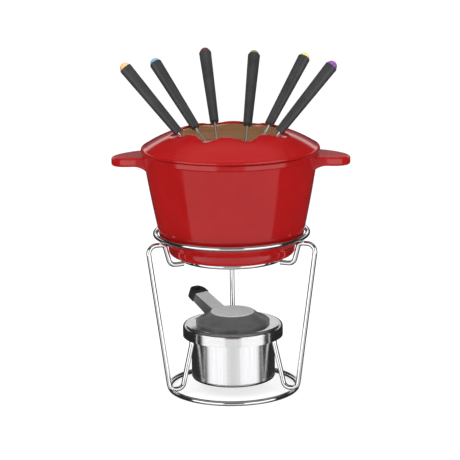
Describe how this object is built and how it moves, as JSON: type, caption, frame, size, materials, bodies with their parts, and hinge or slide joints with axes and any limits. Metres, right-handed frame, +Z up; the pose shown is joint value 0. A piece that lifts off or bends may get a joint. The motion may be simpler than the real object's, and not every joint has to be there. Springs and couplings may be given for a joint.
{
  "type": "fondue pot set",
  "caption": "Red enamelled cast-iron fondue pot with two tab handles and a fork guard, forks with coloured caps, on a chromed wire stand with a steel burner and snuffer",
  "frame": {"origin": "centre of the stand's base ring on the table plane", "axes": "+Z up, +X to the right-hand pot handle, -Y towards the user"},
  "size_m": [0.2338, 0.189, 0.3297],
  "materials": {
    "enamel_red": "glossy vitreous enamel on cast iron",
    "chrome_wire": "bright chrome plate",
    "cup_steel": "fine vertical brushing, bright",
    "cover_steel": "satin, drawn sheet",
    "fuel_pad": "pressed mineral fibre",
    "steel_gauze": "woven wire",
    "dark_plastic": "satin phenolic",
    "brushed_plate": "brushed along the handle",
    "black_grip": "soft black",
    "handle_plastic": "satin, slightly textured",
    "fork_steel": "polished stainless steel",
    "cap_orange": "glossy",
    "cap_blue": "glossy",
    "cap_dark_red": "glossy",
    "cap_green": "glossy",
    "cap_yellow": "glossy",
    "cap_purple": "glossy"
  },
  "bodies": {
    "stand": {"stand_base_ring": "chrome_wire", "stand_seat_ring": "chrome_wire", "stand_pot_ring": "chrome_wire", "stand_burner_ring": "chrome_wire", "stand_leg_left": "chrome_wire", "stand_leg_right": "chrome_wire", "stand_leg_back": "chrome_wire"},
    "pot": {"pot": "enamel_red"},
    "guard": {"fork_guard": "enamel_red"},
    "burner": {"burner_cup": "cup_steel", "burner_cover_ring": "cover_steel", "burner_fuel_pad": "fuel_pad", "burner_screen": "steel_gauze"},
    "snuffer": {"snuffer_cover": "dark_plastic", "snuffer_plate": "brushed_plate", "snuffer_grip": "black_grip"},
    "fork_orange": {"fork_orange_handle": "handle_plastic", "fork_orange_shaft": "fork_steel", "fork_orange_cap": "cap_orange"},
    "fork_blue": {"fork_blue_handle": "handle_plastic", "fork_blue_shaft": "fork_steel", "fork_blue_cap": "cap_blue"},
    "fork_dark_red": {"fork_dark_red_handle": "handle_plastic", "fork_dark_red_shaft": "fork_steel", "fork_dark_red_cap": "cap_dark_red"},
    "fork_green": {"fork_green_handle": "handle_plastic", "fork_green_shaft": "fork_steel", "fork_green_cap": "cap_green"},
    "fork_yellow": {"fork_yellow_handle": "handle_plastic", "fork_yellow_shaft": "fork_steel", "fork_yellow_cap": "cap_yellow"},
    "fork_purple": {"fork_purple_handle": "handle_plastic", "fork_purple_shaft": "fork_steel", "fork_purple_cap": "cap_purple"}
  },
  "joints": [
    {"name": "pot_lift", "type": "slide", "parent": "stand", "child": "pot", "axis": [0, 0, 1], "range_m": [0, 0.12]},
    {"name": "guard_lift", "type": "slide", "parent": "pot", "child": "guard", "axis": [0, 0, 1], "range_m": [0, 0.08]},
    {"name": "burner_lift", "type": "slide", "parent": "stand", "child": "burner", "axis": [0, 0, 1], "range_m": [0, 0.01]},
    {"name": "snuffer_lift", "type": "slide", "parent": "burner", "child": "snuffer", "axis": [0, 0, 1], "range_m": [0, 0.018]},
    {"name": "fork_orange_draw", "type": "slide", "parent": "guard", "child": "fork_orange", "axis": [-0.6275, 0.1737, 0.759], "range_m": [0, 0.13]},
    {"name": "fork_blue_draw", "type": "slide", "parent": "guard", "child": "fork_blue", "axis": [-0.4942, 0.4628, 0.736], "range_m": [0, 0.13]},
    {"name": "fork_dark_red_draw", "type": "slide", "parent": "guard", "child": "fork_dark_red", "axis": [-0.109, 0.6139, 0.7818], "range_m": [0, 0.13]},
    {"name": "fork_green_draw", "type": "slide", "parent": "guard", "child": "fork_green", "axis": [0.0979, 0.6152, 0.7823], "range_m": [0, 0.13]},
    {"name": "fork_yellow_draw", "type": "slide", "parent": "guard", "child": "fork_yellow", "axis": [0.4509, 0.4948, 0.7429], "range_m": [0, 0.13]},
    {"name": "fork_purple_draw", "type": "slide", "parent": "guard", "child": "fork_purple", "axis": [0.6341, 0.1724, 0.7538], "range_m": [0, 0.13]}
  ]
}
